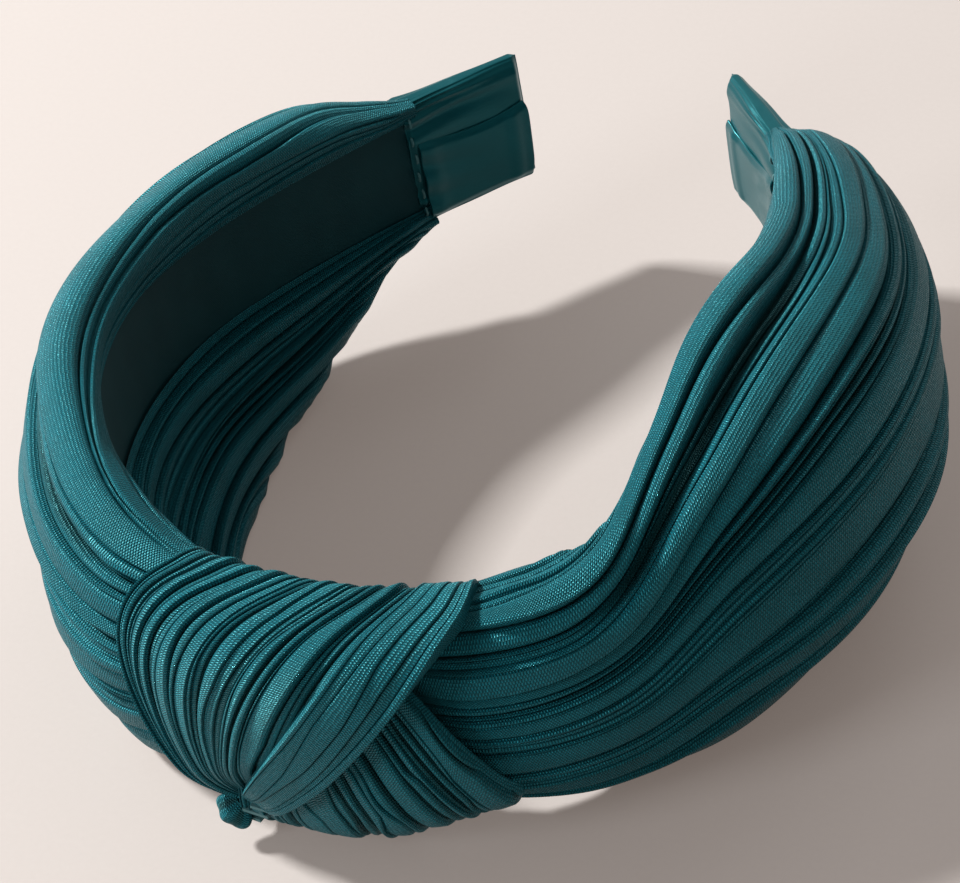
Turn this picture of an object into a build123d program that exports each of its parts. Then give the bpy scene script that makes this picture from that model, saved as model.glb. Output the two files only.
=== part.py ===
from build123d import *
from math import cos, degrees, radians, sin
import os

# Knotted headband. Millimetres, +Z up. The band stands on its lower hem, open at the back (+Y).
# The origin is the centre of the crown arc, on the surface that the hem rests on. The knot is
# at -Y, the two tips are at +Y. "Station" is the length along the core's centreline from the
# middle of the knot, and "offset" is the distance outwards from that centreline.

# Core: a flat springy hoop in one plane
crown_radius = 66.0  # centreline radius over the crown
crown_sweep = 118.5  # degrees of the crown arc on each side of the knot
tip_radius = 250.0  # centreline radius of the flatter run to each tip
tip_run = 61.5  # length of that run
core_width = 25.0
core_thickness = 1.8
core_base = 21.5  # height of the core's lower edge over the hem

# Lining ribbon glued inside the core
lining_thickness = 0.8
lining_inset = 0.6  # core left bare along each edge of the lining

# Flex lines, where the hoop bends beside the knot
flex_station = 27.0
flex_gap = 0.4  # slot between the rigid stretches of core

# Pleated fabric
panel_setback = 0.3  # from the flex line to the panel's end
lip_overlap = 3.0  # fabric folded over each edge of the lining
lip_thickness = 1.2
flap_thickness = 3.0  # pleated flap, at its free hem
tip_cover = 23.0  # length of band at each tip that the panel leaves to the satin

# Knot
knot_reach = 28.5  # station of the knot's mouths
over_strand_rise = 1.2  # the over strand stands this proud of the under strand
mouth_clearance = 2.2  # around the panel in the knot's mouth
mouth_depth = 3.2  # room behind the panel's end
strand_edge_low = (-15.0, 3.0)  # X and Z where the strands' crossing line starts
strand_edge_high = (23.5, 50.0)  # and where it ends

# Satin tip ribbons and thread
ribbon_thickness = 0.8
lap_thickness = 0.6
lap_start = 3.0  # from the ribbon's inner end to the lapped layer
lap_reveal = 8.5  # of the ribbon under it, left in view along its upper edge
lap_overhang = 1.2  # the lapped layer runs past the folded tip
thread_width = 0.6
thread_stitch = 2.4
thread_pitch = 4.0
thread_row_inset = 2.0  # from the ribbon's inner end to the row of stitches
tack_count = 3
tack_pitch = 3.0
tack_length = 5.0
tack_depth = 3.0
tack_seat = 10.4  # offset of the lowest tack's middle
tack_slope = 0.4  # outwards for each millimetre up the strand

# Worked out
crown_run = radians(crown_sweep) * crown_radius
half_length = crown_run + tip_run
tip_centre_x = (crown_radius - tip_radius) * sin(radians(crown_sweep))
tip_centre_y = (tip_radius - crown_radius) * cos(radians(crown_sweep))
core_top = core_base + core_width
core_face = core_thickness / 2
lining_face = core_face + lining_thickness
panel_start = flex_station + panel_setback
panel_end = half_length - tip_cover

# Fabric sections of each arm, from the knot to the tip:
# share of the arm, top hem (offset, height over the core), bulge, lower hem (offset, height)
LEFT_SECTIONS = (
    (0.00, 1.0, 1.8, 9.0, 0.5, 10.0),
    (0.06, 1.0, 3.6, 9.8, -3.0, 7.0),
    (0.16, 0.0, 7.5, 12.5, -12.0, 1.5),
    (0.36, -1.0, 7.5, 11.5, -18.0, -0.8),
    (0.56, -1.0, 7.5, 11.0, -15.0, -0.8),
    (0.76, -1.0, 6.5, 9.5, -4.5, 2.5),
    (0.92, 0.0, 4.0, 7.0, -0.5, 12.0),
    (1.00, 0.0, 1.8, 3.4, 0.2, 19.5),
)
RIGHT_SECTIONS = (
    (0.00, 1.0, 1.8, 9.0, 0.5, 10.0),
    (0.06, 1.0, 3.2, 9.8, -1.0, 7.0),
    (0.14, -1.5, 6.5, 10.5, -8.0, 2.5),
    (0.22, -5.5, 9.5, 10.5, -11.0, 1.0),
    (0.38, -13.5, 15.5, 10.5, -14.0, -0.8),
    (0.56, -17.5, 18.5, 10.5, -14.0, -0.8),
    (0.76, -14.5, 14.5, 11.0, -6.0, 2.0),
    (0.92, -5.0, 5.5, 8.5, -0.5, 12.0),
    (1.00, 0.0, 1.8, 3.4, 0.2, 19.5),
)


def heading(station):
    """Degrees that the centreline has turned at a station."""
    if station <= crown_run:
        return degrees(station / crown_radius)
    return crown_sweep + degrees((station - crown_run) / tip_radius)


def band_point(side, station, offset=0.0, height=0.0):
    """A point beside the centreline: side is 1 on the right (+X), -1 on the left."""
    turn = radians(heading(station))
    if station <= crown_run:
        x = (crown_radius + offset) * sin(turn)
        y = -(crown_radius + offset) * cos(turn)
    else:
        x = tip_centre_x + (tip_radius + offset) * sin(turn)
        y = tip_centre_y - (tip_radius + offset) * cos(turn)
    return Vector(side * x, y, height)


def section_plane(side, station):
    """Plane across the band: its X is the offset and its Y is the height."""
    turn = radians(heading(station))
    outward = (side * sin(turn), -cos(turn), 0)
    along = (-cos(turn), -side * sin(turn), 0)
    return Plane(origin=band_point(side, station), x_dir=outward, z_dir=along)


def band_arcs(side, offset, start, end):
    """Plan arcs of the band at one offset, between two stations."""
    reach = min(end, crown_run)
    if start < crown_run:
        begin = heading(start) - 90 if side > 0 else 270 - heading(start)
        sweep = side * (heading(reach) - heading(start))
        CenterArc((0, 0), crown_radius + offset, begin, sweep)
    if end > crown_run:
        origin = max(start, crown_run)
        begin = heading(origin) - 90 if side > 0 else 270 - heading(origin)
        sweep = side * (heading(end) - heading(origin))
        CenterArc((side * tip_centre_x, tip_centre_y), tip_radius + offset, begin, sweep)


def band_strip(side, inner, outer, start, end, base, top):
    """A strip that follows one arm of the band, between two offsets and two heights."""
    with BuildPart() as strip:
        with BuildSketch(Plane.XY.offset(base)):
            with BuildLine():
                band_arcs(side, inner, start, end)
                band_arcs(side, outer, start, end)
                Line(band_point(side, start, inner), band_point(side, start, outer))
                Line(band_point(side, end, inner), band_point(side, end, outer))
            make_face()
        extrude(amount=top - base)
    return strip.part


def crown_strip(inner, outer, reach, base, top):
    """The same strip across the crown, from one flex line to the other."""
    turn = heading(reach)
    with BuildPart() as strip:
        with BuildSketch(Plane.XY.offset(base)):
            with BuildLine():
                CenterArc((0, 0), crown_radius + inner, -90 - turn, 2 * turn)
                CenterArc((0, 0), crown_radius + outer, -90 - turn, 2 * turn)
                Line(band_point(1, reach, inner), band_point(1, reach, outer))
                Line(band_point(-1, reach, inner), band_point(-1, reach, outer))
            make_face()
        extrude(amount=top - base)
    return strip.part


def panel_outline(top_offset, top_rise, bulge, hem_offset, hem_height):
    """Corners of a pleated panel's section: a C round the core with a flap at each hem."""
    top = core_top + top_rise
    middle = (core_base + core_top) / 2
    lip = -(lining_face + lip_thickness)
    top_flap = flap_thickness if top_offset < lip else 1.0
    hem_flap = flap_thickness if hem_offset < lip else 1.0
    inner_top = (min(top_offset, lip), top - top_flap)
    inner_hem = (min(hem_offset, lip), hem_height + hem_flap)
    waist = core_base + 1.0
    return [
        (top_offset, top),
        (top_offset + 0.52 * (bulge - top_offset), top - 0.14 * (top - middle)),
        (top_offset + 0.86 * (bulge - top_offset), top - 0.46 * (top - middle)),
        (bulge, middle),
        (0.9 * bulge, hem_height + 0.46 * (middle - hem_height)),
        (hem_offset + 0.62 * (bulge - hem_offset), hem_height + 0.14 * (middle - hem_height)),
        (hem_offset, hem_height),
        inner_hem,
        (lip + 0.4 * (inner_hem[0] - lip), inner_hem[1] + 0.25 * (waist - inner_hem[1])),
        (lip, waist),
        (lip, core_top - 1.0),
        inner_top,
    ]


def knot_outline(depth, base, top):
    """Corners of the knot's section: flat against the head and domed outwards."""
    lip = -(lining_face + lip_thickness)
    half = (top - base) / 2
    return [
        (lip + 1.5, top),
        (0.45 * depth, top - 0.04 * half),
        (0.76 * depth, top - 0.22 * half),
        (0.94 * depth, top - 0.55 * half),
        (depth, base + half),
        (0.94 * depth, base + 0.55 * half),
        (0.76 * depth, base + 0.22 * half),
        (0.45 * depth, base + 0.04 * half),
        (lip + 1.5, base),
        (lip, base + 3.0),
        (lip, top - 3.0),
    ]


def skinned_solid(planes, outlines):
    """A closed solid through a row of outlines with equal corners, faceted between them."""
    rings = []
    for plane, outline in zip(planes, outlines):
        rings.append([plane.from_local_coords((offset, height, 0)) for offset, height in outline])
    faces = [Face(Wire.make_polygon(rings[0])), Face(Wire.make_polygon(rings[-1]))]
    corners = len(outlines[0])
    for near, far in zip(rings, rings[1:]):
        for index in range(corners):
            after = (index + 1) % corners
            faces.append(Face(Wire.make_polygon([near[index], near[after], far[after]])))
            faces.append(Face(Wire.make_polygon([near[index], far[after], far[index]])))
    return Solid(Shell(faces))


os.makedirs("parts", exist_ok=True)

# Core and lining over the crown, cut back from the flex lines
crown_end = flex_station - flex_gap / 2
with BuildPart() as core_crown:
    add(crown_strip(-core_face, core_face, crown_end, core_base, core_top))
core_crown.part.label = "band_core_crown"
export_step(core_crown.part, "parts/band_core_crown.step")

lining_base = core_base + lining_inset
lining_top = core_top - lining_inset
with BuildPart() as lining_crown:
    add(crown_strip(-lining_face, -core_face, crown_end, lining_base, lining_top))
lining_crown.part.label = "lining_crown"
export_step(lining_crown.part, "parts/lining_crown.step")


def window_cut(side, start, end):
    """The strip of lining that the folded fabric leaves in view."""
    deep = -(lining_face + lip_thickness + 6.0)
    return band_strip(side, deep, 0.0, start, end, core_base + lip_overlap, core_top - lip_overlap)


def make_arm(side, name, sections):
    """Core, lining, pleated panel, satin tip and stitches of one arm."""
    arm_start = flex_station + flex_gap / 2
    with BuildPart() as core:
        add(band_strip(side, -core_face, core_face, arm_start, half_length, core_base, core_top))
    core.part.label = "band_core_" + name
    export_step(core.part, "parts/band_core_" + name + ".step")

    with BuildPart() as lining:
        add(band_strip(side, -lining_face, -core_face, arm_start, half_length, lining_base, lining_top))
    lining.part.label = "lining_" + name
    export_step(lining.part, "parts/lining_" + name + ".step")

    planes = []
    outlines = []
    for share, *shape in sections:
        station = panel_start + share * (panel_end - panel_start)
        planes.append(section_plane(side, station))
        outlines.append(panel_outline(*shape))
    with BuildPart() as panel:
        add(skinned_solid(planes, outlines))
        add(core.part, mode=Mode.SUBTRACT)
        add(lining.part, mode=Mode.SUBTRACT)
        add(window_cut(side, panel_start - 2.0, panel_end + 2.0), mode=Mode.SUBTRACT)
        split(bisect_by=Plane.XY, keep=Keep.TOP)
    panel.part.label = "pleated_panel_" + name
    export_step(panel.part, "parts/pleated_panel_" + name + ".step")

    inner = -(lining_face + ribbon_thickness)
    outer = core_face + ribbon_thickness
    ribbon_end = half_length + ribbon_thickness
    ribbon_base = core_base - ribbon_thickness
    ribbon_top = core_top + ribbon_thickness
    with BuildPart() as ribbon:
        add(band_strip(side, inner, outer, panel_end, ribbon_end, ribbon_base, ribbon_top))
        add(core.part, mode=Mode.SUBTRACT)
        add(lining.part, mode=Mode.SUBTRACT)
    ribbon.part.label = "tip_ribbon_" + name
    export_step(ribbon.part, "parts/tip_ribbon_" + name + ".step")

    lap_face = inner - lap_thickness
    lap_station = panel_end + lap_start
    lap_top = core_top - lap_reveal
    with BuildPart() as lap:
        add(band_strip(side, lap_face, inner, lap_station, ribbon_end + lap_overhang, core_base, lap_top))
    lap.part.label = "tip_ribbon_lap_" + name
    export_step(lap.part, "parts/tip_ribbon_lap_" + name + ".step")

    row_station = panel_end + thread_row_inset
    row_middle = (core_base + core_top) / 2
    with BuildPart() as row:
        with BuildSketch(section_plane(side, row_station)):
            with Locations((inner - thread_width / 2, row_middle)):
                with GridLocations(0, thread_pitch, 1, 6):
                    Rectangle(thread_width, thread_stitch)
        extrude(amount=thread_width / 2, both=True)
    row.part.label = "gather_stitches_" + name
    export_step(row.part, "parts/gather_stitches_" + name + ".step")


make_arm(-1, "left", LEFT_SECTIONS)
make_arm(1, "right", RIGHT_SECTIONS)

# Knot: one domed wrap over the crown, parted along the line where its two strands cross.
# Each section: share of the reach from the middle, depth, base height and top height.
KNOT_SECTIONS = (
    (-1.00, 14.0, 3.0, 51.8),
    (-0.55, 15.5, 0.0, 52.6),
    (0.00, 15.0, 0.0, 52.8),
    (0.55, 14.5, 0.0, 52.4),
    (1.00, 13.5, 4.0, 51.6),
)


def crown_plane(angle):
    """Plane across the crown at an angle from its middle: X is the offset, Y the height."""
    turn = radians(angle)
    outward = (sin(turn), -cos(turn), 0)
    along = (-cos(turn), -sin(turn), 0)
    origin = (crown_radius * sin(turn), -crown_radius * cos(turn), 0)
    return Plane(origin=origin, x_dir=outward, z_dir=along)


def mouth_cut(side, shape):
    """Room in the knot's mouth for the panel's end and its swing."""
    outside = knot_reach - panel_start + 4.0
    with BuildPart() as mouth:
        with BuildSketch(section_plane(side, panel_start).offset(-outside * side)) as opening:
            with BuildLine():
                Polyline(*panel_outline(*shape), close=True)
            make_face()
            offset(amount=mouth_clearance, kind=Kind.INTERSECTION)
        extrude(amount=(outside + mouth_depth) * side)
    return mouth.part


def knot_wrap(rise):
    """The knot's whole outline, standing a little proud by rise."""
    planes = []
    outlines = []
    for share, depth, base, top in KNOT_SECTIONS:
        planes.append(crown_plane(heading(knot_reach) * share))
        outlines.append(knot_outline(depth + rise, base, top))
    with BuildPart() as wrap:
        add(skinned_solid(planes, outlines))
    return wrap.part


def make_strand(name, rise, keep):
    """One strand of the knot, on one side of the crossing line, hollow for what it holds."""
    rise_x = strand_edge_high[0] - strand_edge_low[0]
    rise_z = strand_edge_high[1] - strand_edge_low[1]
    crossing = Plane(
        origin=(strand_edge_low[0], 0, strand_edge_low[1]),
        x_dir=(0, 1, 0),
        z_dir=(-rise_z, 0, rise_x),
    )
    deep = -(lining_face + lip_thickness + 6.0)
    window_base = core_base + lip_overlap
    window_top = core_top - lip_overlap
    with BuildPart() as strand:
        add(knot_wrap(rise))
        split(bisect_by=crossing, keep=keep)
        add(core_crown.part, mode=Mode.SUBTRACT)
        add(lining_crown.part, mode=Mode.SUBTRACT)
        add(crown_strip(deep, 0.0, knot_reach + 2.0, window_base, window_top), mode=Mode.SUBTRACT)
        add(mouth_cut(-1, LEFT_SECTIONS[0][1:]), mode=Mode.SUBTRACT)
        add(mouth_cut(1, RIGHT_SECTIONS[0][1:]), mode=Mode.SUBTRACT)
        add(tacks.part, mode=Mode.SUBTRACT)
    strand.part.label = name
    export_step(strand.part, "parts/" + name + ".step")


# Tack stitches, across the crossing line at the knot's lower left
with BuildPart() as tacks:
    for index in range(tack_count):
        tack_height = strand_edge_low[1] + 2.0 + index * tack_pitch
        tack_share = (tack_height - strand_edge_low[1]) / (strand_edge_high[1] - strand_edge_low[1])
        tack_x = strand_edge_low[0] + tack_share * (strand_edge_high[0] - strand_edge_low[0])
        tack_offset = tack_seat + tack_slope * index * tack_pitch
        with BuildSketch(crown_plane(degrees(tack_x / crown_radius))):
            with Locations((tack_offset, tack_height)):
                Rectangle(tack_depth, thread_width)
        extrude(amount=tack_length / 2, both=True)
tacks.part.label = "knot_tack_stitches"
export_step(tacks.part, "parts/knot_tack_stitches.step")

make_strand("knot_over_strand", over_strand_rise, Keep.TOP)
make_strand("knot_under_strand", 0.0, Keep.BOTTOM)
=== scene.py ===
import math

import bpy
import numpy as np
from mathutils import Matrix, Vector


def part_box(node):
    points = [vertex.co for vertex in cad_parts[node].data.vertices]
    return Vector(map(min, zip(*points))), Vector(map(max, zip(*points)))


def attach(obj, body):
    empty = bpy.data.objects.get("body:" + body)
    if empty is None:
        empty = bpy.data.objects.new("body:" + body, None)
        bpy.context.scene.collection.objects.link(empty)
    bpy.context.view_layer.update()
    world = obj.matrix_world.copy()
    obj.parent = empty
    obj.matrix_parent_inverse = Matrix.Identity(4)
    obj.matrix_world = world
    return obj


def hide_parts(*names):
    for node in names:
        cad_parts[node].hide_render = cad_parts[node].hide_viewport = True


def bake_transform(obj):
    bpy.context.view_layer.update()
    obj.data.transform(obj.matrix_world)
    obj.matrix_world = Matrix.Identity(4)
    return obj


# Knotted headband: pleated crepe panels and a two-strand knot over a springy core, with
# satin-bound tips. Lengths are millimetres here and become metres where a mesh is made.
# "Station" is the length along the core's centreline from the middle of the knot, "offset"
# is the distance outwards from that centreline, and "height" is over the surface it rests on.

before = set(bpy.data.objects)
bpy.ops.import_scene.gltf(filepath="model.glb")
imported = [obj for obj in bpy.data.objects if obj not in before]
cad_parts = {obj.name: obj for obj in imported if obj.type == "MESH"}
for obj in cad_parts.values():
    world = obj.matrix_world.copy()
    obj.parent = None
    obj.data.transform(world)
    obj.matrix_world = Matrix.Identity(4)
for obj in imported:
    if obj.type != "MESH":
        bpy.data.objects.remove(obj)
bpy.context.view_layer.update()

MM = 0.001
core_low, core_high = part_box("band_core_crown")
CORE_BASE = core_low[2] / MM
CORE_TOP = core_high[2] / MM
CORE_MIDDLE = (CORE_BASE + CORE_TOP) / 2
CORE_FACE = 0.9  # half the core's thickness
LINING_FACE = 1.7  # offset of the lining's inner face, inwards
CROWN_RADIUS = -core_low[1] / MM - CORE_FACE
CROWN_SWEEP = 118.5  # degrees of the crown's arc on each side of the knot
CROWN_RUN = math.radians(CROWN_SWEEP) * CROWN_RADIUS
TIP_RADIUS = 250.0
TIP_RUN = 61.5  # length of the flatter run to each tip
HALF_LENGTH = CROWN_RUN + TIP_RUN
PANEL_START = 9.0  # the panels run on under the knot to this station
SATIN_RUN = 21.5  # length at each tip that the panels leave to the satin
PANEL_END = HALF_LENGTH - SATIN_RUN


# Shape helpers

def plan(station):
    """Plan of the centreline: the crown's arc, then a flatter arc to the tip. Gives x, y, turn."""
    crown_turn = CROWN_RUN / CROWN_RADIUS
    on_tip = np.abs(station) > CROWN_RUN
    past = np.where(on_tip, np.abs(station) - CROWN_RUN, 0.0)
    turn = np.where(on_tip, np.sign(station) * (crown_turn + past / TIP_RADIUS), station / CROWN_RADIUS)
    shift_x = np.where(on_tip, np.sign(station) * (CROWN_RADIUS - TIP_RADIUS) * np.sin(crown_turn), 0.0)
    shift_y = np.where(on_tip, (TIP_RADIUS - CROWN_RADIUS) * np.cos(crown_turn), 0.0)
    radius = np.where(on_tip, TIP_RADIUS, CROWN_RADIUS)
    return shift_x + radius * np.sin(turn), shift_y - radius * np.cos(turn), turn


def place(station, offset, height):
    """Points beside the centreline. A negative station is on the left arm."""
    x, y, turn = plan(station)
    return np.stack([x + offset * np.sin(turn), y - offset * np.cos(turn), height + 0.0 * x], axis=-1)


def spline(knots, values, at):
    """Natural cubic spline through values at the knots, along the first axis."""
    knots = np.asarray(knots, float)
    values = np.asarray(values, float)
    count = len(knots)
    step = np.diff(knots)
    shape = (-1,) + (1,) * (values.ndim - 1)
    system = np.eye(count)
    inner = np.arange(1, count - 1)
    system[inner, inner - 1] = step[:-1]
    system[inner, inner] = 2 * (step[:-1] + step[1:])
    system[inner, inner + 1] = step[1:]
    slope = np.diff(values, axis=0) / step.reshape(shape)
    right = np.zeros_like(values)
    right[1:-1] = 6 * np.diff(slope, axis=0)
    bend = np.linalg.solve(system, right.reshape(count, -1)).reshape(values.shape)
    at = np.asarray(at, float)
    index = np.clip(np.searchsorted(knots, at) - 1, 0, count - 2)
    span = step[index].reshape(shape)
    high = ((at - knots[index]) / step[index]).reshape(shape)
    low = 1 - high
    curve = low * values[index] + high * values[index + 1]
    return curve + span ** 2 / 6 * ((low ** 3 - low) * bend[index] + (high ** 3 - high) * bend[index + 1])


def smooth_step(value, start, end):
    """0 before start, 1 after end, with a soft change between them."""
    share = np.clip((value - start) / (end - start), 0, 1)
    return share * share * (3 - 2 * share)


def wander(rng, along, size, waves=3):
    """A slow random wave of about that size along a line: a few sines of random phase."""
    rate = rng.uniform(0.4, 1.0, waves) * np.arange(1, waves + 1)
    phase = rng.uniform(0, 2 * np.pi, waves)
    weight = rng.normal(0, 1, waves) / np.arange(1, waves + 1)
    return size * (weight[:, None] * np.sin(2 * np.pi * rate[:, None] * along + phase[:, None])).sum(axis=0)


def pleat_widths(rng, total, count, broad, lead=()):
    """Widths of a row of pleats: a lead of given ones, then broad ones, between two widths,
    among runs of narrow ones."""
    widths = list(lead)
    while len(widths) < count:
        widths += [rng.uniform(*broad)]
        widths += list(rng.uniform(1.1, 1.9, rng.integers(2, 6)))
        if rng.random() < 0.3:
            widths += [rng.uniform(2.2, 3.0)]
    widths = np.array(widths[:count])
    return widths * total / widths.sum()


def pleat_grid(rng, widths, along, samples, drift, depth):
    """Pleats as a grid. Across is the share of the whole width, and rise is the height over the
    cloth's valleys. A narrow pleat is round and a broad one's crown is flat:
    rise = depth * (1 - |2k - 1|^p)^(1/1.9), leaning over its lower edge, and its edges drift
    slowly along the cloth. Some of the valleys are deep gaps that reach below the cloth."""
    total = widths.sum()
    edges = np.concatenate([[0], np.cumsum(widths)])[:, None] + np.zeros((1, len(along)))
    for index in range(1, len(widths)):
        room = min(widths[index - 1], widths[index])
        edges[index] += np.clip(wander(rng, along, drift * room), -0.32 * room, 0.32 * room)
    local = np.linspace(0, 1, samples + 1)[:-1]
    across = []
    rise = []
    tilt = rng.uniform(0.0, 0.5, len(widths))
    lift = rng.uniform(0.7, 1.15, len(widths))
    gap = np.where(rng.random(len(widths) + 1) < 0.42, rng.uniform(0.5, 0.75, len(widths) + 1) * depth, 0.0)
    gap[[0, -1]] = 0.0
    for index, width in enumerate(widths):
        low = edges[index]
        span = edges[index + 1] - low
        power = 2.0 + 3.6 * min(max(width - 1.8, 0) / 3.0, 1)
        eased = local - 0.86 * np.sin(2 * np.pi * local) / (2 * np.pi)
        hump = np.clip(1 - np.abs(2 * local - 1) ** power, 0, 1) ** (1 / 1.9)
        slant = 1 + tilt[index] * (2 * local - 1)
        fade = np.clip(1 + wander(rng, along, 0.13), 0.55, 1.3)
        tall = depth * lift[index] * min(1.0, 0.62 + 0.16 * width) * fade
        across.append(low + span * eased[:, None])
        sink = gap[index] * np.exp(-(eased * width / 0.42) ** 2)
        sink = sink + gap[index + 1] * np.exp(-((1 - eased) * width / 0.42) ** 2)
        rise.append(hump[:, None] * slant[:, None] * tall - sink[:, None])
    across = np.concatenate(across + [edges[-1:]])
    rise = np.concatenate(rise + [np.zeros((1, len(along)))])
    return across / total, rise


def along_curve(curve, share, fold):
    """Reads a row of curves (points, rows, 2) at shares of their length, (samples, rows). The
    runs before and after the fold are shared out apart, so a pleat keeps its side of it. Also
    gives the length before the fold, and each sample's length from it."""
    step = np.linalg.norm(np.diff(curve, axis=0), axis=2)
    length = np.concatenate([np.zeros((1, curve.shape[1])), np.cumsum(step, axis=0)])
    before = length[fold]
    whole = length[-1]
    turn = (before / whole).mean()
    at = np.where(
        share < turn,
        share / turn * before,
        before + (share - turn) / (1 - turn) * (whole - before),
    )
    read = np.empty(share.shape + (2,))
    for row in range(curve.shape[1]):
        read[:, row, 0] = np.interp(at[:, row], length[:, row], curve[:, row, 0])
        read[:, row, 1] = np.interp(at[:, row], length[:, row], curve[:, row, 1])
    return read, whole, at - before


def outward(points):
    """Unit normals of a grid of (offset, height) curves, to the left of their run."""
    run = np.gradient(points, axis=0)
    normal = np.stack([-run[..., 1], run[..., 0]], axis=-1)
    return normal / np.maximum(np.linalg.norm(normal, axis=-1, keepdims=True), 1e-9)


def rest_on_floor(height):
    """Heights flattened where cloth meets the floor: (h + sqrt(h^2 + 0.4)) / 2 stays above 0."""
    return (height + np.sqrt(height ** 2 + 0.4)) / 2


def cloth_uv(points):
    """UV of a grid in millimetres of cloth: the length along, and the length across where the
    middle half of the cloth is spread out."""
    across = np.linalg.norm(np.diff(points, axis=0), axis=2)
    along = np.linalg.norm(np.diff(points, axis=1), axis=2)
    quarter = points.shape[1] // 4
    down = np.concatenate([[0], np.cumsum(across[:, quarter:-quarter].mean(axis=1))])
    over = np.concatenate([[0], np.cumsum(along.mean(axis=0))])
    return np.stack(np.broadcast_arrays(over[None, :], down[:, None]), axis=-1)


def edge_crest(rise, across, full):
    """Share of the lit colour, the rest being painted shade in the valleys between pleats: 1 where
    the rise is full, and 1 along the cloth's two edges.
    """
    edge = 1 - smooth_step(np.minimum(across, 1 - across), 0.015, 0.045)
    return np.maximum(np.clip(rise / full, 0, 1) ** 1.4, edge)


def grid_piece(name, points, uv, material, flip=False, wrap=False, caps=False, lit_share=None):
    """A mesh from a grid of points in millimetres, with its UV map in millimetres of cloth, and
    its lit share: 0 in the valleys between pleats, which get painted shade, and 1 on the pleats."""
    rows, columns = points.shape[:2]
    index = np.arange(rows * columns).reshape(rows, columns)
    if wrap:
        index = np.concatenate([index, index[:1]])
    corners = [index[:-1, :-1], index[1:, :-1], index[1:, 1:], index[:-1, 1:]]
    quads = np.stack(corners, axis=-1).reshape(-1, 4)
    if flip:
        quads = quads[:, ::-1]
    faces = quads.tolist()
    if caps:
        ends = [index[:rows, 0].tolist(), index[:rows, -1].tolist()[::-1]]
        faces += [end[::-1] for end in ends] if flip else ends
    mesh = bpy.data.meshes.new(name)
    mesh.from_pydata((points.reshape(-1, 3) * MM).tolist(), [], faces)
    layer = mesh.uv_layers.new(name="cloth")
    corner = np.empty(len(mesh.loops), dtype=np.int32)
    mesh.loops.foreach_get("vertex_index", corner)
    layer.data.foreach_set("uv", uv.reshape(-1, 2)[corner].astype(np.float32).ravel())
    mesh.polygons.foreach_set("use_smooth", np.ones(len(mesh.polygons), dtype=bool))
    if lit_share is not None:
        shade = mesh.attributes.new("lit_share", "FLOAT", "POINT")
        shade.data.foreach_set("value", lit_share.astype(np.float32).ravel())
    mesh.materials.append(material)
    piece = bpy.data.objects.new(name, mesh)
    bpy.context.collection.objects.link(piece)
    return piece


# Materials

def math_node(tree, operation, first, second=None):
    """A Math node fed by sockets or numbers."""
    node = tree.nodes.new("ShaderNodeMath")
    node.operation = operation
    for socket, value in zip(node.inputs, (first, second)):
        if isinstance(value, (int, float)):
            socket.default_value = value
        elif value is not None:
            tree.links.new(value, socket)
    return node.outputs[0]


def make_knit_group():
    """Fine crepe knit on UV millimetres: courses of small stitches between wales, with slubs.
    Height is the stitches' relief, Mask is 1 on their crowns, in flecks of painted glint, and
    Slub is a slow unevenness."""
    tree = bpy.data.node_groups.new("crepe_knit", "ShaderNodeTree")
    for socket, value in (("Wale", 0.60), ("Course", 0.46), ("Slub Scale", 0.12)):
        item = tree.interface.new_socket(socket, in_out="INPUT", socket_type="NodeSocketFloat")
        item.default_value = value
    for socket in ("Height", "Mask", "Slub"):
        tree.interface.new_socket(socket, in_out="OUTPUT", socket_type="NodeSocketFloat")
    given = tree.nodes.new("NodeGroupInput")
    result = tree.nodes.new("NodeGroupOutput")
    uv = tree.nodes.new("ShaderNodeUVMap")
    uv.uv_map = "cloth"
    wobble = tree.nodes.new("ShaderNodeTexNoise")
    wobble.inputs["Scale"].default_value = 1.3
    wobble.inputs["Detail"].default_value = 2.0
    tree.links.new(uv.outputs[0], wobble.inputs["Vector"])
    parts = tree.nodes.new("ShaderNodeSeparateXYZ")
    tree.links.new(uv.outputs[0], parts.inputs[0])
    sway = math_node(tree, "MULTIPLY", wobble.outputs["Fac"], 0.5)
    swayed = math_node(tree, "ADD", parts.outputs[1], sway)
    wale = math_node(tree, "DIVIDE", swayed, given.outputs["Wale"])
    lag = math_node(tree, "MULTIPLY", math_node(tree, "FLOOR", wale), 0.5)
    row = math_node(tree, "DIVIDE", parts.outputs[0], given.outputs["Course"])
    course = math_node(tree, "ADD", row, lag)
    wale_sine = math_node(tree, "SINE", math_node(tree, "MULTIPLY", wale, math.pi))
    wale_wave = math_node(tree, "ABSOLUTE", wale_sine)
    course_sine = math_node(tree, "SINE", math_node(tree, "MULTIPLY", course, math.pi))
    course_wave = math_node(tree, "ABSOLUTE", course_sine)
    column = math_node(tree, "ADD", math_node(tree, "MULTIPLY", wale_wave, 0.5), 0.5)
    stitch = math_node(tree, "MULTIPLY", column, course_wave)
    fleck = tree.nodes.new("ShaderNodeTexNoise")
    fleck.inputs["Scale"].default_value = 1.9
    fleck.inputs["Detail"].default_value = 1.0
    tree.links.new(uv.outputs[0], fleck.inputs["Vector"])
    # Noise flecks that brighten the stitch crowns: painted glints.
    crown_glints = math_node(tree, "ADD", math_node(tree, "MULTIPLY", fleck.outputs["Fac"], 2.2), -0.2)
    tree.links.new(math_node(tree, "POWER", stitch, 0.7), result.inputs["Height"])
    tree.links.new(math_node(tree, "MULTIPLY", stitch, crown_glints), result.inputs["Mask"])
    slub = tree.nodes.new("ShaderNodeTexNoise")
    slub.inputs["Detail"].default_value = 3.0
    tree.links.new(uv.outputs[0], slub.inputs["Vector"])
    tree.links.new(given.outputs["Slub Scale"], slub.inputs["Scale"])
    tree.links.new(slub.outputs["Fac"], result.inputs["Slub"])
    return tree


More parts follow.
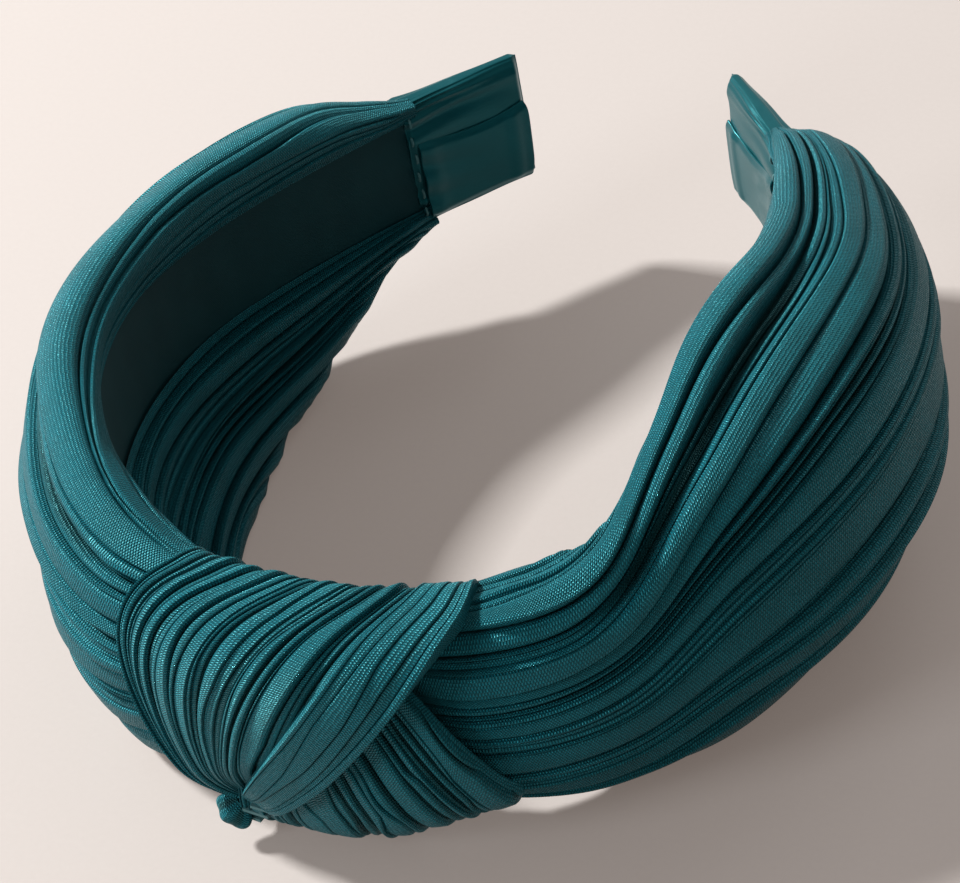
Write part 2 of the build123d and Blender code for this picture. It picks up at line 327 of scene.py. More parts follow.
def mix_colour(tree, factor, first, second):
    """A colour between two, by a factor socket."""
    mix = tree.nodes.new("ShaderNodeMix")
    mix.data_type = "RGBA"
    tree.links.new(factor, mix.inputs["Factor"])
    for name, value in (("A", first), ("B", second)):
        socket = [item for item in mix.inputs if item.name == name and item.type == "RGBA"][0]
        if isinstance(value, tuple):
            socket.default_value = value
        else:
            tree.links.new(value, socket)
    return [item for item in mix.outputs if item.type == "RGBA"][0]


def new_material(
    name, roughness, sheen=0.0, sheen_roughness=0.4, sheen_tint=(1, 1, 1, 1), specular=0.5,
    tint=(1, 1, 1, 1),
):
    """A material with its Principled shader, whose constant sheen and gloss are set here."""
    material = bpy.data.materials.new(name)
    material.use_nodes = True
    shader = material.node_tree.nodes["Principled BSDF"]
    shader.inputs["Roughness"].default_value = roughness
    shader.inputs["Sheen Weight"].default_value = sheen
    shader.inputs["Sheen Roughness"].default_value = sheen_roughness
    shader.inputs["Sheen Tint"].default_value = sheen_tint
    shader.inputs["Specular IOR Level"].default_value = specular
    shader.inputs["Specular Tint"].default_value = tint
    return material, material.node_tree, shader


def bump(tree, shader, height, strength, distance):
    """Feeds a height to the shader's normal."""
    node = tree.nodes.new("ShaderNodeBump")
    node.inputs["Strength"].default_value = strength
    node.inputs["Distance"].default_value = distance
    tree.links.new(height, node.inputs["Height"])
    tree.links.new(node.outputs[0], shader.inputs["Normal"])


def crepe_material(name, knit, dark, light):
    """Teal crepe knit: a painted highlight on the stitches' crowns, a slow unevenness, a soft
    sheen, and painted shade in the valleys between pleats.
    """
    material, tree, shader = new_material(
        name, 0.5, sheen=0.05, sheen_roughness=0.3, sheen_tint=(0.1, 0.9, 1.0, 1), specular=0.75,
        tint=(0.14, 0.90, 1.0, 1),
    )
    weave = tree.nodes.new("ShaderNodeGroup")
    weave.node_tree = knit
    body = mix_colour(tree, weave.outputs["Mask"], dark, light)
    shade = tuple(0.72 * part for part in dark[:3]) + (1,)
    slow = tree.nodes.new("ShaderNodeMapRange")
    slow.inputs["From Min"].default_value = 0.35
    slow.inputs["From Max"].default_value = 0.75
    slow.inputs["To Max"].default_value = 0.45
    tree.links.new(weave.outputs["Slub"], slow.inputs["Value"])
    worn = mix_colour(tree, slow.outputs[0], body, shade)
    # The attribute mixes a near-black colour into the valleys between pleats: painted shade.
    lit_share = tree.nodes.new("ShaderNodeAttribute")
    lit_share.attribute_name = "lit_share"
    high = tree.nodes.new("ShaderNodeMapRange")
    high.interpolation_type = "SMOOTHSTEP"
    high.inputs["From Min"].default_value = 0.10
    high.inputs["From Max"].default_value = 0.80
    tree.links.new(lit_share.outputs["Fac"], high.inputs["Value"])
    valley = (0.0002, 0.004, 0.006, 1)
    tree.links.new(mix_colour(tree, high.outputs[0], valley, worn), shader.inputs["Base Color"])
    rough = tree.nodes.new("ShaderNodeMapRange")
    rough.inputs["To Min"].default_value = 0.72
    rough.inputs["To Max"].default_value = 0.28
    tree.links.new(weave.outputs["Mask"], rough.inputs["Value"])
    tree.links.new(rough.outputs[0], shader.inputs["Roughness"])
    bump(tree, shader, weave.outputs["Height"], 1.0, 0.0003)
    return material


def satin_material(name):
    """Glossy satin: floats of fine threads along the ribbon, over a slightly wavy face."""
    material, tree, shader = new_material(
        name, 0.3, sheen=0.05, sheen_tint=(0.1, 0.9, 1, 1), specular=0.6, tint=(0.12, 0.88, 1.0, 1)
    )
    shader.inputs["Anisotropic"].default_value = 0.5
    uv = tree.nodes.new("ShaderNodeUVMap")
    uv.uv_map = "cloth"
    stretch = tree.nodes.new("ShaderNodeMapping")
    stretch.inputs["Scale"].default_value = (0.5, 9.0, 1.0)
    tree.links.new(uv.outputs[0], stretch.inputs["Vector"])
    thread = tree.nodes.new("ShaderNodeTexNoise")
    thread.inputs["Scale"].default_value = 1.0
    thread.inputs["Detail"].default_value = 4.0
    tree.links.new(stretch.outputs[0], thread.inputs["Vector"])
    colour = mix_colour(tree, thread.outputs["Fac"], (0.0008, 0.020, 0.026, 1), (0.003, 0.052, 0.062, 1))
    tree.links.new(colour, shader.inputs["Base Color"])
    rough = tree.nodes.new("ShaderNodeMapRange")
    rough.inputs["To Min"].default_value = 0.26
    rough.inputs["To Max"].default_value = 0.38
    tree.links.new(thread.outputs["Fac"], rough.inputs["Value"])
    tree.links.new(rough.outputs[0], shader.inputs["Roughness"])
    bump(tree, shader, thread.outputs["Fac"], 0.35, 0.00008)
    return material


def ribbon_material(name, colour, fleck, rib):
    """Plain woven ribbon or moulded strip on Object coordinates: fine cross ribs and a faint mottle."""
    material, tree, shader = new_material(
        name, 0.6, sheen=0.03, sheen_tint=(0.5, 1, 1, 1), specular=0.2, tint=(0.5, 1, 1, 1)
    )
    place_node = tree.nodes.new("ShaderNodeTexCoord")
    wave = tree.nodes.new("ShaderNodeTexWave")
    wave.bands_direction = "Z"
    wave.inputs["Scale"].default_value = rib
    wave.inputs["Distortion"].default_value = 0.6
    tree.links.new(place_node.outputs["Object"], wave.inputs["Vector"])
    mottle = tree.nodes.new("ShaderNodeTexNoise")
    mottle.inputs["Scale"].default_value = 160.0
    mottle.inputs["Detail"].default_value = 4.0
    tree.links.new(place_node.outputs["Object"], mottle.inputs["Vector"])
    tree.links.new(mix_colour(tree, mottle.outputs["Fac"], colour, fleck), shader.inputs["Base Color"])
    bump(tree, shader, wave.outputs["Fac"], 0.3, 0.00006)
    return material


def floor_material():
    """Pale warm studio paper with a barely seen tooth, and a faint glow of painted light that
    lifts its shadows.
    """
    material, tree, shader = new_material("studio_paper", 0.85, specular=0.2)
    place_node = tree.nodes.new("ShaderNodeTexCoord")
    tooth = tree.nodes.new("ShaderNodeTexNoise")
    tooth.inputs["Scale"].default_value = 900.0
    tree.links.new(place_node.outputs["Object"], tooth.inputs["Vector"])
    colour = mix_colour(tree, tooth.outputs["Fac"], (0.255, 0.243, 0.238, 1), (0.27, 0.256, 0.251, 1))
    tree.links.new(colour, shader.inputs["Base Color"])
    # A faint warm glow on the floor: painted light that lifts its shadows.
    shader.inputs["Emission Color"].default_value = (1.0, 0.80, 0.70, 1)
    shader.inputs["Emission Strength"].default_value = 0.15
    return material


knit = make_knit_group()
# The light colour is a painted highlight on the stitch crowns, over the dark body colour.
CREPE_DARK = (0.0001, 0.014, 0.021, 1)
CREPE_LIGHT = (0.002, 0.102, 0.140, 1)
crepe = crepe_material("pleated_crepe", knit, CREPE_DARK, CREPE_LIGHT)
satin = satin_material("satin_ribbon")
lining_cloth = ribbon_material("lining_ribbon", (0.001, 0.018, 0.024, 1), (0.002, 0.030, 0.037, 1), 900.0)
core_plastic = ribbon_material("core_plastic", (0.01, 0.05, 0.055, 1), (0.012, 0.06, 0.065, 1), 60.0)
thread_spun = ribbon_material("spun_thread", (0.02, 0.10, 0.11, 1), (0.09, 0.16, 0.17, 1), 2500.0)


# Pleated panels. Each row: station, top fold (offset, height), bulge (offset, height), bottom
# fold (offset, height)
LEFT_FORM = (
    (9.0, 0.0, 47.0, 6.5, 31, -1.5, 12.0),
    (24.0, 0.8, 47.6, 9.0, 31, -0.5, 8.0),
    (33.0, 2.0, 49.4, 11.6, 29, -2.0, 4.0),
    (42.0, 2.2, 51.8, 12.6, 29, -5.0, 2.4),
    (57.0, 0.8, 53.4, 10.6, 32, -11.0, 1.9),
    (84.0, -0.4, 53.8, 8.9, 33, -15.5, 1.8),
    (112.0, -0.6, 53.9, 9.4, 34, -14.0, 1.8),
    (133.0, -0.2, 54.1, 10.6, 36, -9.0, 2.8),
    (150.0, 0.6, 53.4, 9.6, 38, -3.0, 8.0),
    (161.0, 1.6, 51.2, 6.6, 38, -0.9, 14.5),
    (169.0, 0.6, 48.2, 3.8, 35, -0.6, 18.6),
    (176.5, -0.4, 47.1, 2.4, 34, -0.6, 20.3),
)
RIGHT_FORM = (
    (9.0, 0.0, 47.0, 6.5, 31, -1.5, 12.0),
    (24.0, 1.2, 47.4, 9.0, 30, -0.5, 9.0),
    (33.0, 2.4, 48.2, 9.4, 30, -1.5, 7.0),
    (40.0, 2.8, 49.6, 9.2, 30, -3.0, 5.6),
    (47.0, 0.6, 51.8, 8.6, 30, -6.0, 4.2),
    (55.0, -4.6, 55.0, 8.2, 31, -8.0, 3.0),
    (66.0, -10.4, 58.8, 8.2, 32, -10.5, 2.2),
    (79.0, -15.0, 61.6, 8.8, 33, -13.0, 1.8),
    (95.0, -17.0, 63.0, 9.8, 34, -14.0, 1.8),
    (111.0, -15.8, 62.6, 10.8, 36, -13.0, 1.9),
    (125.0, -13.0, 60.8, 11.6, 38, -10.5, 2.4),
    (139.0, -9.6, 58.4, 11.9, 41, -6.5, 4.4),
    (152.0, -6.2, 56.2, 11.4, 43, -3.0, 8.4),
    (164.0, -3.6, 53.2, 9.2, 44, -1.0, 14.0),
    (176.5, -1.4, 48.8, 4.8, 41, -0.6, 20.1),
)
SKIN = 0.35  # cloth stands this far off what it wraps
RING_POINTS = 260
PANEL_ROWS = 230
PLEAT_COUNT = 48
PLEAT_SAMPLES = 9  # rows of points across one pleat
PLEAT_DEPTH = 3.0
BROAD_PLEATS = (3.4, 6.4)
PLEATED_WIDTH = 128.0


def panel_rings(form, station):
    """Base curves round the arm at each station: from under the lining's top edge, over the top
    fold, down the outside, under the bottom fold and back to the lining. Also gives which
    point of the curves lies on the top fold."""
    rows = spline([row[0] for row in form], [row[1:] for row in form], station)
    top_offset, top, bulge, bulge_height, hem_offset, hem = rows.T
    inner = -LINING_FACE - SKIN + 0.0 * top
    down = top - bulge_height
    up = bulge_height - hem
    wide = bulge - top_offset
    low_wide = bulge - hem_offset
    points = [
        (inner, CORE_TOP - 2.6 + 0.0 * top),
        (
            np.minimum(inner - 0.5, 0.12 * top_offset + 0.88 * inner - 0.5),
            CORE_TOP + 0.25 * (top - CORE_TOP),
        ),
        (np.minimum(inner, 0.72 * top_offset + 0.28 * inner) - 0.3, CORE_TOP + 0.74 * (top - CORE_TOP)),
        (top_offset, top),
        (top_offset + 0.28 * wide, top - 0.055 * down),
        (top_offset + 0.58 * wide, top - 0.19 * down),
        (top_offset + 0.86 * wide, top - 0.48 * down),
        (bulge, bulge_height),
        (0.93 * bulge + 0.02 * hem_offset, bulge_height - 0.36 * up),
        (hem_offset + 0.78 * low_wide, bulge_height - 0.70 * up),
        (hem_offset + 0.44 * low_wide, bulge_height - 0.92 * up),
        (hem_offset, hem),
        (np.minimum(inner, 0.7 * hem_offset + 0.3 * inner) - 0.5, hem + 0.22 * (CORE_BASE - hem)),
        (np.minimum(inner - 0.6, 0.3 * hem_offset + 0.7 * inner - 0.6), hem + 0.62 * (CORE_BASE - hem)),
        (inner, CORE_BASE + 2.6 + 0.0 * top),
    ]
    control = np.stack([np.stack(point, axis=-1) for point in points])
    reach = np.linalg.norm(np.diff(control, axis=0), axis=2).mean(axis=1)
    knots = np.concatenate([[0], np.cumsum(reach ** 0.7)])
    curves = spline(knots, control, np.linspace(0, knots[-1], RING_POINTS))
    return curves, round(knots[3] / knots[-1] * (RING_POINTS - 1))


def make_panel(side, name, form, seed, lead, valley, twist):
    """A pleated panel. Its pleats run from the knot to the tip, crowd at both ends, and are
    carried on the base curves: point = base(share of girth) + normal * pleat rise. The valley
    is a deep groove beside the top fold: (distance from it, depth, from station, to station).
    Twist is how far round the girth the pleats are drawn down into the knot."""
    rng = np.random.default_rng(seed)
    share = np.linspace(0, 1, PANEL_ROWS)
    station = PANEL_START + share * (PANEL_END - PANEL_START)
    rings, fold = panel_rings(form, station)
    widths = pleat_widths(rng, PLEATED_WIDTH, PLEAT_COUNT, BROAD_PLEATS, lead)
    across, rise = pleat_grid(rng, widths, share, PLEAT_SAMPLES, 0.5, PLEAT_DEPTH)
    drawn = across + twist * np.sin(np.pi * across) * (1 - smooth_step(station, 12.0, 66.0))
    flat, girth, from_fold = along_curve(rings, drawn, fold)
    # pleats fade under the knot, where the cloth is glued under the lining and at the ribbon
    rim = smooth_step(across, 0.0, 0.03) * smooth_step(1 - across, 0.0, 0.03)
    ends = smooth_step(station, 13.0, 25.0) * (1 - 0.72 * smooth_step(share, 0.95, 1.0))
    place_at, deep, start, end = valley
    reach = smooth_step(station, start, start + 14.0) * (1 - smooth_step(station, end - 25.0, end))
    groove = deep * reach * np.exp(-((from_fold - place_at) / 1.7) ** 2)
    crowd = np.clip(girth / girth.max(), 0.45, 1.0) ** 0.5
    swell = 0.45 * np.sin(9 * np.pi * across + 2.2 * np.sin(3 * np.pi * share)) * np.sin(np.pi * share) ** 2
    inside = 0.5 + 0.5 * smooth_step(from_fold, -4.0, 1.0)
    tucked = np.exp(-(from_fold / 7.0) ** 2) * (1 - smooth_step(station, 22.0, 34.0))
    relief = rise * rim * ends * crowd * inside * (1 - tucked) + swell - groove
    shaped = flat + outward(flat) * relief[..., None]
    points = place(side * station[None, :], shaped[..., 0], rest_on_floor(shaped[..., 1]))
    # The groove beside the top fold also gets painted shade.
    lit_share = edge_crest(rise, across, 1.7) * (1 - 0.85 * groove / deep)
    piece = grid_piece(name, points, cloth_uv(points), crepe, flip=side > 0, lit_share=lit_share)
    return piece, points


def bend_beside_knot(piece):
    """Bakes a piece's placement into its mesh."""
    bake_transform(piece)


ARM_SIDES = {"left": -1, "right": 1}
LEFT_LEAD = (2.2, 1.6, 1.8, 1.5, 3.2, 1.4, 5.6, 1.6, 1.4, 2.0, 1.3, 4.2)
RIGHT_LEAD = (2.6, 1.8, 3.2, 1.6, 4.6, 1.5, 3.6, 3.8, 1.3, 1.2, 1.5, 4.4)
for arm, form, seed, lead, valley, twist in (
    ("left", LEFT_FORM, 11, LEFT_LEAD, (7.5, 1.6, 30.0, 150.0), 0.05),
    ("right", RIGHT_FORM, 29, RIGHT_LEAD, (8.5, 3.4, 38.0, 128.0), 0.11),
):
    side = ARM_SIDES[arm]
    piece, points = make_panel(side, "pleated_sleeve_" + arm, form, seed, lead, valley, twist)
    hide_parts("pleated_panel_" + arm)
    bend_beside_knot(piece)


# Knot. Its wrap is a girth curve round the crown, read at a share called lap: 0 is tucked
# inside at the bottom, 3 is the front of the lower edge, 9 the top edge, 11 inside at the top.
WRAP_OFFSET = (-2.6, -3.3, 0.5, 7.6, 12.0, 14.3, 14.9, 13.8, 10.2, 4.2, -1.6, -2.9)
WRAP_HEIGHT = (15.0, 6.5, 3.4, 4.0, 8.8, 18.5, 29.5, 39.2, 45.4, 48.0, 48.0, 43.0)


def wrap_point(station, lap, lift):
    """A point on the knot's wrap: the girth curve, thinner towards its mouths and raised at
    the lower right, moved out along its normal by lift."""
    knots = np.arange(len(WRAP_OFFSET))
    curve = np.stack([WRAP_OFFSET, WRAP_HEIGHT], axis=-1)
    fine = np.linspace(0, len(knots) - 1, 1200)
    read = spline(knots, curve, fine)
    normal = -outward(read)
    offset = np.interp(lap, fine, read[:, 0])
    height = np.interp(lap, fine, read[:, 1])
    normal_offset = np.interp(lap, fine, normal[:, 0])
    normal_height = np.interp(lap, fine, normal[:, 1])
    end = (station / 29.0) ** 2
    low = np.clip(1 - height / 40.0, 0, 1)
    raise_low = 9.0 * low * np.clip((station - 3.0) / 26.0, 0, 1.2) ** 1.3
    sink_top = 0.6 * end * smooth_step(height, 20, 50)
    thin = 1 - 0.10 * end
    offset = np.where(offset > 0, offset * thin, offset)
    out = offset + normal_offset * lift
    up = height + raise_low - sink_top + normal_height * lift
    return place(station, out, up)


def bezier(points, at):
    """Cubic Bezier curves: points (4, lines, 2) read at (steps,), giving (lines, steps, 2)."""
    at = at[None, :, None]
    first, second, third, fourth = (point[:, None, :] for point in points)
    return (
        (1 - at) ** 3 * first
        + 3 * (1 - at) ** 2 * at * second
        + 3 * (1 - at) * at ** 2 * third
        + at ** 3 * fourth
    )


def strand_points(rng, widths, guides, run_on, samples, steps, depth, lift, edge_drop):
    """A strand of the knot as pleats that follow a fan of Bezier lines over the wrap. guides
    are (share across, four (station, lap) points); run_on is how far the lines go on past
    their ends. Pleats sink where they crowd, and the strand's edges turn under."""
    reach = np.linspace(0, 1, steps)
    across, rise = pleat_grid(rng, widths, reach, samples, 0.5, depth)
    knots = [guide[0] for guide in guides]
    control = np.array([guide[1] for guide in guides], float)
    lines = across[:, 0]
    fan = np.moveaxis(spline(knots, control, lines), 1, 0)
    main = bezier(fan, np.clip(reach / 0.8, 0, 1))
    # past their ends the lines keep their way and then turn into the run on
    over = np.clip(reach / 0.2 - 4, 0, 1)[None, :, None]
    onward = 0.75 * (fan[3] - fan[2])[:, None, :]
    path = main + onward * (over - over ** 2 / 2) + np.array(run_on) * over ** 2
    # slide each grid line to the pleats' drifting edges
    slid = np.empty_like(path)
    for step in range(steps):
        for axis in range(2):
            slid[:, step, axis] = np.interp(across[:, step], lines, path[:, step, axis])
    flat = wrap_point(slid[..., 0], slid[..., 1], 0.0)
    total = np.linalg.norm(np.diff(flat, axis=0), axis=2).sum(axis=0)
    crowd = np.clip(total / widths.sum(), 0.05, 1.0) ** 0.8
    edge_in = smooth_step(across, 0.0, 0.06)
    edge_out = smooth_step(1 - across, 0.0, 0.035)
    drop = edge_drop[0] * (1 - edge_in) + edge_drop[1] * (1 - edge_out)
    relief = lift(reach)[None, :] + rise * crowd * (0.35 + 0.65 * edge_in * edge_out) - drop
    points = wrap_point(slid[..., 0], slid[..., 1], relief)
    return points, edge_crest(rise, across, 0.85 * depth)


# Guides of each strand, across it: share, then four (station, lap) points of a Bezier curve
OVER_GUIDES = (
    (0.00, ((-14.0, 3.75), (-24.6, 4.75), (-31.5, 6.9), (-28.5, 9.0))),
    (0.30, ((-13.4, 3.8), (-21.8, 4.85), (-26.0, 7.0), (-14.0, 9.2))),
    (0.58, ((-12.9, 4.05), (-16.6, 5.2), (-14.0, 7.3), (-1.5, 9.3))),
    (0.80, ((-10.8, 4.5), (-9.0, 5.6), (-2.5, 7.3), (9.5, 9.3))),
    (1.00, ((-1.0, 5.6), (4.0, 6.5), (9.0, 7.6), (17.5, 9.4))),
)
FOLD_GUIDES = (
    (0.00, ((-12.4, 4.4), (-8.0, 5.25), (2.5, 6.7), (15.0, 9.2))),
    (0.50, ((-11.5, 4.25), (-4.5, 5.05), (7.5, 6.4), (19.5, 8.9))),
    (1.00, ((-10.6, 4.1), (-1.5, 4.75), (13.0, 6.1), (23.5, 8.5))),
)
UNDER_GUIDES = (
    (0.00, ((-13.4, 4.6), (-14.8, 3.9), (-15.6, 3.3), (-16.0, 2.6))),
    (0.30, ((-6.0, 5.2), (-6.6, 4.3), (-6.6, 3.4), (-6.4, 2.6))),
    (0.62, ((6.0, 6.0), (9.5, 5.0), (11.5, 4.0), (12.0, 2.7))),
    (0.80, ((12.0, 6.6), (17.0, 5.4), (20.5, 4.2), (22.0, 2.9))),
    (1.00, ((15.5, 7.2), (21.0, 6.0), (26.0, 4.7), (29.5, 3.3))),
)


def make_strand(
    name, node, guides, run_on, count, total, seed, size, steps, depth, lift, edge_drop, lead=()
):
    """One strand, riding on the crown in place of its plain solid."""
    rng = np.random.default_rng(seed)
    widths = pleat_widths(rng, total, count, size, lead)
    points, lit_share = strand_points(rng, widths, guides, run_on, 11, steps, depth, lift, edge_drop)
    piece = grid_piece(name, points, cloth_uv(points), crepe, flip=True, lit_share=lit_share)
    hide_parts(node)
    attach(piece, "crown")
    return piece


def over_lift(reach):
    """The over strand is pinched at its tuck and stands proud across the front."""
    return -1.0 + 2.5 * smooth_step(reach, 0.0, 0.22) - 1.3 * smooth_step(reach, 0.55, 0.9)


def fold_lift(reach):
    """The folded edge of the over strand lies on top of the rest of it."""
    return 0.4 + 2.5 * smooth_step(reach, 0.0, 0.2) - 1.9 * smooth_step(reach, 0.6, 0.92)


def under_lift(reach):
    """The under strand starts beneath the over strand and keeps close to the band."""
    return -1.4 + 1.2 * smooth_step(reach, 0.0, 0.3)


OVER_LEAD = (3.4, 1.4, 1.3, 1.5, 1.4, 2.6, 1.5, 3.0, 1.6, 1.4, 3.2, 1.8)
make_strand(
    "knot_over_strand_cloth", "knot_over_strand", OVER_GUIDES, (0.6, 1.5), 27, 60.0, 5, (2.4, 3.6),
    140, 1.5, over_lift, (4.2, 1.0), OVER_LEAD,
)
make_strand(
    "knot_over_strand_fold", "knot_over_strand", FOLD_GUIDES, (0.6, 2.0), 6, 16.0, 7, (2.8, 3.2), 140, 1.1,
    fold_lift, (1.3, 2.4), (1.6, 3.2, 3.0, 3.2, 1.6, 2.6),
)
make_strand(
    "knot_under_strand_cloth", "knot_under_strand", UNDER_GUIDES, (0.0, -2.2), 24, 52.0, 8, (2.6, 3.8),
    110, 1.5, under_lift, (0.5, 1.5), (),
)


def make_tuft():
    """The tuft of cloth left below the tack stitches: a short lobed bud, widest near its end."""
    angle = np.linspace(0, 2 * np.pi, 97)[:-1, None]
    along = np.linspace(0, 1, 40)[None, :]
    radius = 2.3 * np.sin(np.pi * (0.12 + 0.86 * along)) ** 0.75 * (0.75 + 0.5 * along)
    radius = radius * (1 + 0.11 * np.cos(5 * angle + 1.5 * along) * (0.4 + 0.6 * along))
    middle = -14.0 - 2.0 * along
    offset = 11.4 + 1.6 * along + 1.05 * radius * np.cos(angle)
    height = 8.4 - 4.3 * along - 0.75 * radius * np.sin(angle)
    points = place(middle + 1.1 * radius * np.sin(angle), offset, height)
    uv = np.stack(np.broadcast_arrays(along * 8.0, angle * 2.4), axis=-1)
    # Painted shade in the dips between the tuft's lobes.
    lit_share = np.clip(0.6 + 0.5 * np.cos(5 * angle + 1.5 * along), 0, 1)
    tuft = grid_piece("knot_tuft", points, uv, crepe, wrap=True, caps=True, lit_share=lit_share)
    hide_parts("knot_over_strand")
    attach(tuft, "crown")


make_tuft()


# Satin tips
def make_tip(side, arm):
    """A satin sleeve round the band's end: a rounded flat section whose gathers die out away
    from the pleats, with a soft fold along it, pinched shut at the tip."""
    station = np.linspace(HALF_LENGTH - 24.2, HALF_LENGTH + 1.1, 130)[None, :]
    angle = np.linspace(0, 2 * np.pi, 321)[:-1, None]
    half_high = (CORE_TOP - CORE_BASE) / 2 + 0.95
    half_thick = (LINING_FACE + CORE_FACE) / 2 + 0.85
    middle = (CORE_FACE - LINING_FACE) / 2
    start = station[0, 0]
    fade = np.exp(-(station - start) / 8.0)
    gathers = 0.42 * np.sin(19 * angle + 1.6 * np.sin(3 * angle) + 0.05 * (station - start)) * fade
    drape = 0.22 * np.sin(2.6 * np.pi * np.sin(angle) + 0.13 * (station - start)) * (1 - fade)
    drape = drape + 0.12 * np.sin((station - start) / 2.6 + 3.0 * np.sin(angle))
    close = 1 - 0.9 * smooth_step(station, HALF_LENGTH - 0.5, HALF_LENGTH + 1.1) ** 1.6
    hem = 0.72 + 0.28 * smooth_step(station, start, start + 1.2)
    cosine = np.cos(angle)
    sine = np.sin(angle)
    swell = 3.4 * np.exp(-(station - start) / 7.5) * np.clip(cosine, 0, 1) ** 0.6 * (0.75 + 0.25 * sine)
    thick = half_thick * np.sign(cosine) * np.abs(cosine) ** 0.6
    offset = middle + (thick + (gathers + drape) * np.clip(3 * cosine, -1, 1)) * close * hem + swell
    tall = (half_high + 0.2 * gathers) * np.sign(sine) * np.abs(sine) ** 0.42
    height = CORE_MIDDLE + tall * (1 - 0.03 * (1 - close))
    points = place(side * np.broadcast_to(station, offset.shape), offset, height)
    uv = np.stack(np.broadcast_arrays(station, angle / (2 * np.pi) * 62.0), axis=-1)
    sleeve = grid_piece("satin_tip_" + arm, points, uv, satin, flip=side > 0, wrap=True, caps=True)
    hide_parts("tip_ribbon_" + arm)
    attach(sleeve, arm + "_arm")


def make_lap(side, arm):
    """The ribbon's lapped end on the inner face: a thin layer with a turned top edge that climbs
    in a slow curve, and a soft free end that overhangs the tip."""
    along = np.linspace(0, 1, 90)[None, :]
    up = np.linspace(0, 1, 60)[:, None]
    top = CORE_BASE + 18.0 - 1.6 * np.sin(np.pi * along) - 1.2 * along
    height = CORE_BASE + 0.7 + up * (top - CORE_BASE - 0.7)
    round_end = 1.0 - 0.035 * (np.abs(2 * up - 1) ** 6)
    station = HALF_LENGTH - 22.6 + (22.6 + 0.9 * up) * along * round_end
    edge = smooth_step(up, 0.9, 1.0) + smooth_step(1 - up, 0.93, 1.0)
    puff = 0.35 * np.exp(-((along - 0.86) / 0.06) ** 2) + 0.3 * np.exp(-((along - 0.1) / 0.08) ** 2)
    wave = 0.14 * np.sin(7.0 * along + 4.0 * up) + 0.3 * np.sin(16 * up + 3 * along) * np.exp(-5 * along)
    offset = -LINING_FACE - 1.25 - (puff + wave) * (1 - 0.6 * edge) + 0.4 * edge
    points = place(side * station, offset, height)
    uv = np.stack(np.broadcast_arrays(station, height), axis=-1)
    lap = grid_piece("satin_lap_" + arm, points, uv, satin, flip=side > 0)
    wall = lap.modifiers.new("wall", "SOLIDIFY")
    wall.thickness = 0.4 * MM
    wall.offset = -1.0
    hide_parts("tip_ribbon_lap_" + arm)
    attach(lap, arm + "_arm")


def make_gather_thread(side, arm):
    """A running stitch on the inner face where the gathers meet the ribbon: six short rounded
    threads in a row, each bowed out of the satin."""
    turn = np.linspace(0, 2 * np.pi, 11)[:-1, None]
    along = np.linspace(-1, 1, 13)[None, :]
    for index in range(6):
        bow = 1 - along ** 2
        radius = 0.24 * (1 - 0.75 * along ** 8)
        middle = CORE_MIDDLE - 10.0 + 4.0 * index
        offset = -LINING_FACE - 1.05 - 0.35 * bow + radius * np.cos(turn)
        station = HALF_LENGTH - 23.5 + 0.15 * np.sin(9.0 * index) + radius * np.sin(turn)
        height = middle + 1.1 * along + 0.0 * turn
        points = place(side * station, offset, height)
        uv = np.stack(np.broadcast_arrays(along, turn), axis=-1)
        name = "gather_thread_" + arm + "_" + str(index + 1)
        stitch = grid_piece(name, points, uv, thread_spun, flip=side < 0, wrap=True, caps=True)
        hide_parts("gather_stitches_" + arm)
        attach(stitch, arm + "_arm")


LINING_HALF_WIDTH = 11.9


def make_lining(side, arm):
    """One half of the lining ribbon, from the middle of the crown to the tip: a thin strip with
    rounded edges and a faint ripple."""
    station = np.linspace(0, HALF_LENGTH - 0.5, 260)[None, :]
    angle = np.linspace(0, 2 * np.pi, 97)[:-1, None]
    cosine = np.cos(angle)
    sine = np.sin(angle)
    ripple = 0.03 * np.sin(station / 3.1 + 4.0 * sine) + 0.02 * np.sin(station / 1.3)
    offset = -(LINING_FACE + CORE_FACE) / 2 + 0.43 * np.sign(cosine) * np.abs(cosine) ** 0.3
    offset = offset + ripple * (cosine < 0)
    height = CORE_MIDDLE + LINING_HALF_WIDTH * np.sign(sine) * np.abs(sine) ** 0.25
    height = np.broadcast_to(height, offset.shape)
    points = place(side * np.broadcast_to(station, offset.shape), offset, height)
    uv = np.stack(np.broadcast_arrays(station, height), axis=-1)
    name = "lining_ribbon_" + arm
    strip = grid_piece(name, points, uv, lining_cloth, flip=side > 0, wrap=True, caps=True)
    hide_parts("lining_" + arm)
    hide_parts("lining_crown")
    bend_beside_knot(strip)


for arm, side in ARM_SIDES.items():
    make_lining(side, arm)
    make_tip(side, arm)
    make_lap(side, arm)
    make_gather_thread(side, arm)

# Carried-over pieces
for part in ("crown", "left", "right"):
    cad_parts["band_core_" + part].material_slots[0].material = core_plastic
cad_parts["knot_tack_stitches"].material_slots[0].material = thread_spun


# Studio
FLOOR = 3.0  # half the floor's width, in metres
floor_mesh = bpy.data.meshes.new("studio_floor")
floor_mesh.from_pydata(
    [(-FLOOR, -FLOOR, 0), (FLOOR, -FLOOR, 0), (FLOOR, FLOOR, 0), (-FLOOR, FLOOR, 0)], [], [(0, 1, 2, 3)]
)
floor = bpy.data.objects.new("studio_floor", floor_mesh)
floor_mesh.materials.append(floor_material())
bpy.context.collection.objects.link(floor)

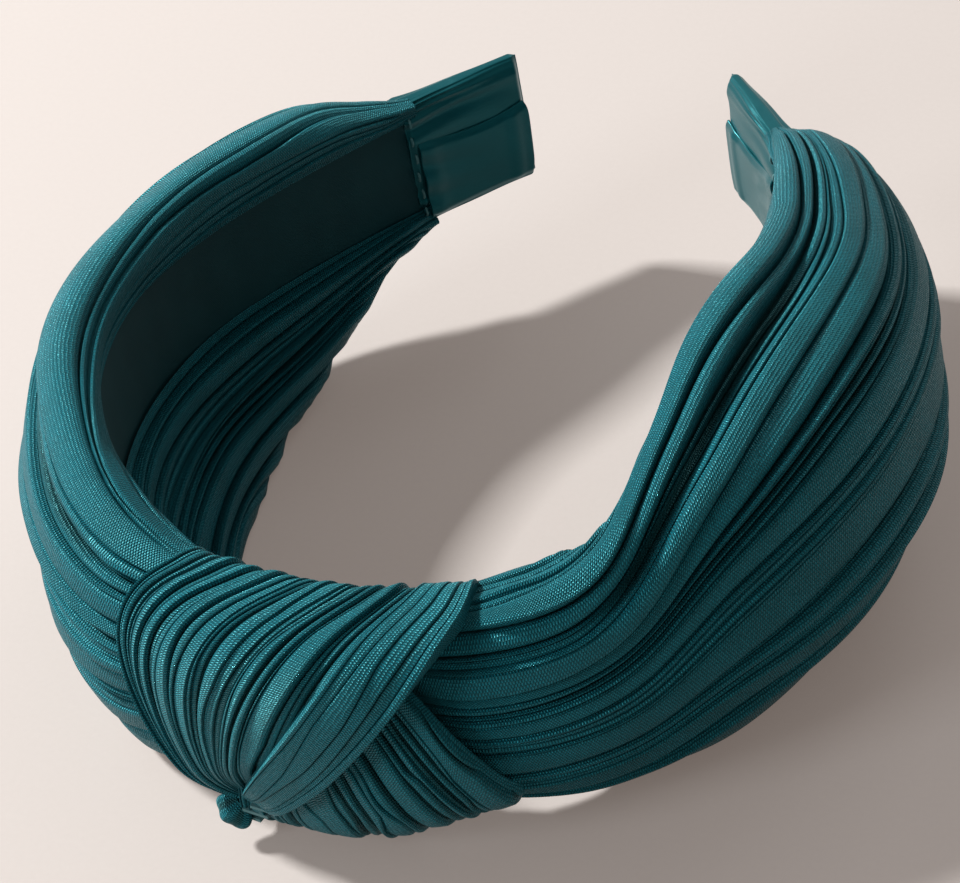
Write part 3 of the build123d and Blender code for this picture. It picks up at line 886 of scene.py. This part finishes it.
world = bpy.data.worlds.new("studio")
world.use_nodes = True
world.node_tree.nodes["Background"].inputs["Color"].default_value = (1.0, 0.94, 0.90, 1)
world.node_tree.nodes["Background"].inputs["Strength"].default_value = 0.38
bpy.context.scene.world = world


def add_light(name, place_at, aim, energy, size, colour):
    """An area light at a place, turned to its aim."""
    data = bpy.data.lights.new(name, "AREA")
    data.energy = energy
    data.size = size
    data.color = colour
    light = bpy.data.objects.new(name, data)
    light.location = place_at
    light.rotation_mode = "QUATERNION"
    light.rotation_quaternion = (Vector(aim) - Vector(place_at)).to_track_quat("-Z", "Y")
    bpy.context.collection.objects.link(light)


add_light("key", (-1.30, 0.05, 1.25), (0, 0, 0.02), 86.0, 0.20, (1.0, 0.97, 0.93))
add_light("front", (-0.62, -0.78, 0.50), (0, 0, 0.02), 6.0, 0.35, (0.97, 0.99, 1.0))
add_light("rim", (0.15, 0.8, 0.7), (0, 0, 0.02), 2.0, 0.5, (1.0, 1.0, 1.0))

# Camera: its turn round the object, height, roll and distance
CAMERA_TURN = math.radians(28.2)
CAMERA_RISE = math.radians(39.0)
CAMERA_ROLL = math.radians(-11.3)
CAMERA_AIM = Vector((0.0, -0.001, 0.0254))
back = Vector((
    math.sin(CAMERA_TURN) * math.cos(CAMERA_RISE),
    -math.cos(CAMERA_TURN) * math.cos(CAMERA_RISE),
    math.sin(CAMERA_RISE),
))
right = (-back).cross(Vector((0, 0, 1))).normalized()
up = right.cross(-back)
rolled_right = math.cos(CAMERA_ROLL) * right + math.sin(CAMERA_ROLL) * up
rolled_up = -math.sin(CAMERA_ROLL) * right + math.cos(CAMERA_ROLL) * up
camera_data = bpy.data.cameras.new("camera")
camera_data.lens = 146.7
camera_data.sensor_width = 36.0
camera_data.clip_start = 0.01
camera = bpy.data.objects.new("camera", camera_data)
turn = Matrix((rolled_right, rolled_up, back)).transposed().to_4x4()
camera.matrix_world = Matrix.Translation(CAMERA_AIM + 0.675 * back) @ turn
bpy.context.collection.objects.link(camera)
bpy.context.scene.camera = camera
bpy.context.scene.view_settings.view_transform = "Standard"
